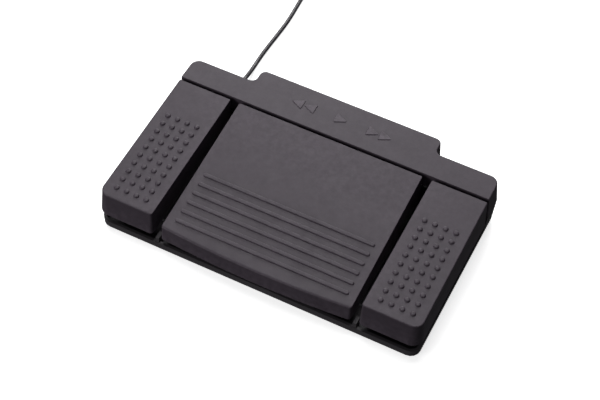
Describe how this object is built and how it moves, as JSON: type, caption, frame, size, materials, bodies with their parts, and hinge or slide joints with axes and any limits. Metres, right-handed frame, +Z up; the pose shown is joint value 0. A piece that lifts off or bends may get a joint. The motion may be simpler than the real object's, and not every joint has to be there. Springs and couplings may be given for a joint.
{
  "type": "three-pedal foot control",
  "caption": "Low foot control with a wide centre pedal between two narrow ones, hinged at the rear on a tray, with a tabbed rear cover and a thin coiled cord.",
  "frame": {"origin": "on the floor under the middle of the object without its cord", "axes": "+X across the pedals to the right, +Y to the rear where the cord leaves, +Z up"},
  "size_m": [0.2911, 0.3439, 0.0445],
  "materials": {
    "case_plastic": "satin, fine grained moulded plastic",
    "tray_plastic": "satin moulded plastic",
    "bright_steel": "bright drawn wire and rod",
    "plated_plate": "dull zinc plate",
    "black_rubber": "matte",
    "board_green": "solder mask",
    "switch_black": "moulded",
    "plunger_red": "moulded",
    "header_white": "moulded nylon",
    "cord_black": "satin jacket",
    "tie_black": "matte",
    "plug_gold": "gold flashed"
  },
  "bodies": {
    "base": {"rear_cover": "case_plastic", "base_tray": "tray_plastic", "hinge_rod": "bright_steel", "left_spring": "bright_steel", "centre_left_spring": "bright_steel", "centre_right_spring": "bright_steel", "right_spring": "bright_steel", "cover_screw_1": "bright_steel", "cover_screw_2": "bright_steel", "cover_screw_3": "bright_steel", "cover_screw_4": "bright_steel", "plate_screw_1": "bright_steel", "plate_screw_2": "bright_steel", "board_screw_1": "bright_steel", "board_screw_2": "bright_steel", "ballast_plate": "plated_plate", "left_stop_pad": "black_rubber", "centre_left_stop_pad": "black_rubber", "centre_right_stop_pad": "black_rubber", "right_stop_pad": "black_rubber", "front_left_foot": "black_rubber", "front_right_foot": "black_rubber", "rear_left_foot": "black_rubber", "rear_right_foot": "black_rubber", "strain_relief": "black_rubber", "plug_body": "black_rubber", "circuit_board": "board_green", "left_switch": "switch_black", "centre_switch": "switch_black", "right_switch": "switch_black", "cord_header": "header_white", "cord_lead": "cord_black", "cord_coil": "cord_black", "cord_plug_lead": "cord_black", "inner_lead": "cord_black", "cord_tie": "tie_black", "plug_contact": "plug_gold"},
    "left_pedal_body": {"left_pedal": "case_plastic"},
    "centre_pedal_body": {"centre_pedal": "case_plastic"},
    "right_pedal_body": {"right_pedal": "case_plastic"},
    "left_plunger_body": {"left_plunger": "plunger_red"},
    "centre_plunger_body": {"centre_plunger": "plunger_red"},
    "right_plunger_body": {"right_plunger": "plunger_red"}
  },
  "joints": [
    {"name": "left_pedal_hinge", "type": "hinge", "parent": "base", "child": "left_pedal_body", "pos_m": [0, 0.05184, 0.021], "axis": [1, 0, 0], "range_deg": [0, 1.85], "stiffness_Nm_per_rad": 8, "springref_deg": -4.58, "deforming": ["left_spring"]},
    {"name": "centre_pedal_hinge", "type": "hinge", "parent": "base", "child": "centre_pedal_body", "pos_m": [0, 0.05184, 0.021], "axis": [1, 0, 0], "range_deg": [0, 1.85], "stiffness_Nm_per_rad": 10, "springref_deg": -4.58, "deforming": ["centre_left_spring", "centre_right_spring"]},
    {"name": "right_pedal_hinge", "type": "hinge", "parent": "base", "child": "right_pedal_body", "pos_m": [0, 0.05184, 0.021], "axis": [1, 0, 0], "range_deg": [0, 1.85], "stiffness_Nm_per_rad": 8, "springref_deg": -4.58, "deforming": ["right_spring"]},
    {"name": "left_plunger_slide", "type": "slide", "parent": "base", "child": "left_plunger_body", "axis": [0, 0, -1], "range_m": [0, 0.00098]},
    {"name": "centre_plunger_slide", "type": "slide", "parent": "base", "child": "centre_plunger_body", "axis": [0, 0, -1], "range_m": [0, 0.00098]},
    {"name": "right_plunger_slide", "type": "slide", "parent": "base", "child": "right_plunger_body", "axis": [0, 0, -1], "range_m": [0, 0.00098]}
  ],
  "couplings": [
    {"joint": "left_plunger_slide", "follows": "left_pedal_hinge", "m_per_rad": 0.0298},
    {"joint": "centre_plunger_slide", "follows": "centre_pedal_hinge", "m_per_rad": 0.0298},
    {"joint": "right_plunger_slide", "follows": "right_pedal_hinge", "m_per_rad": 0.0298}
  ]
}
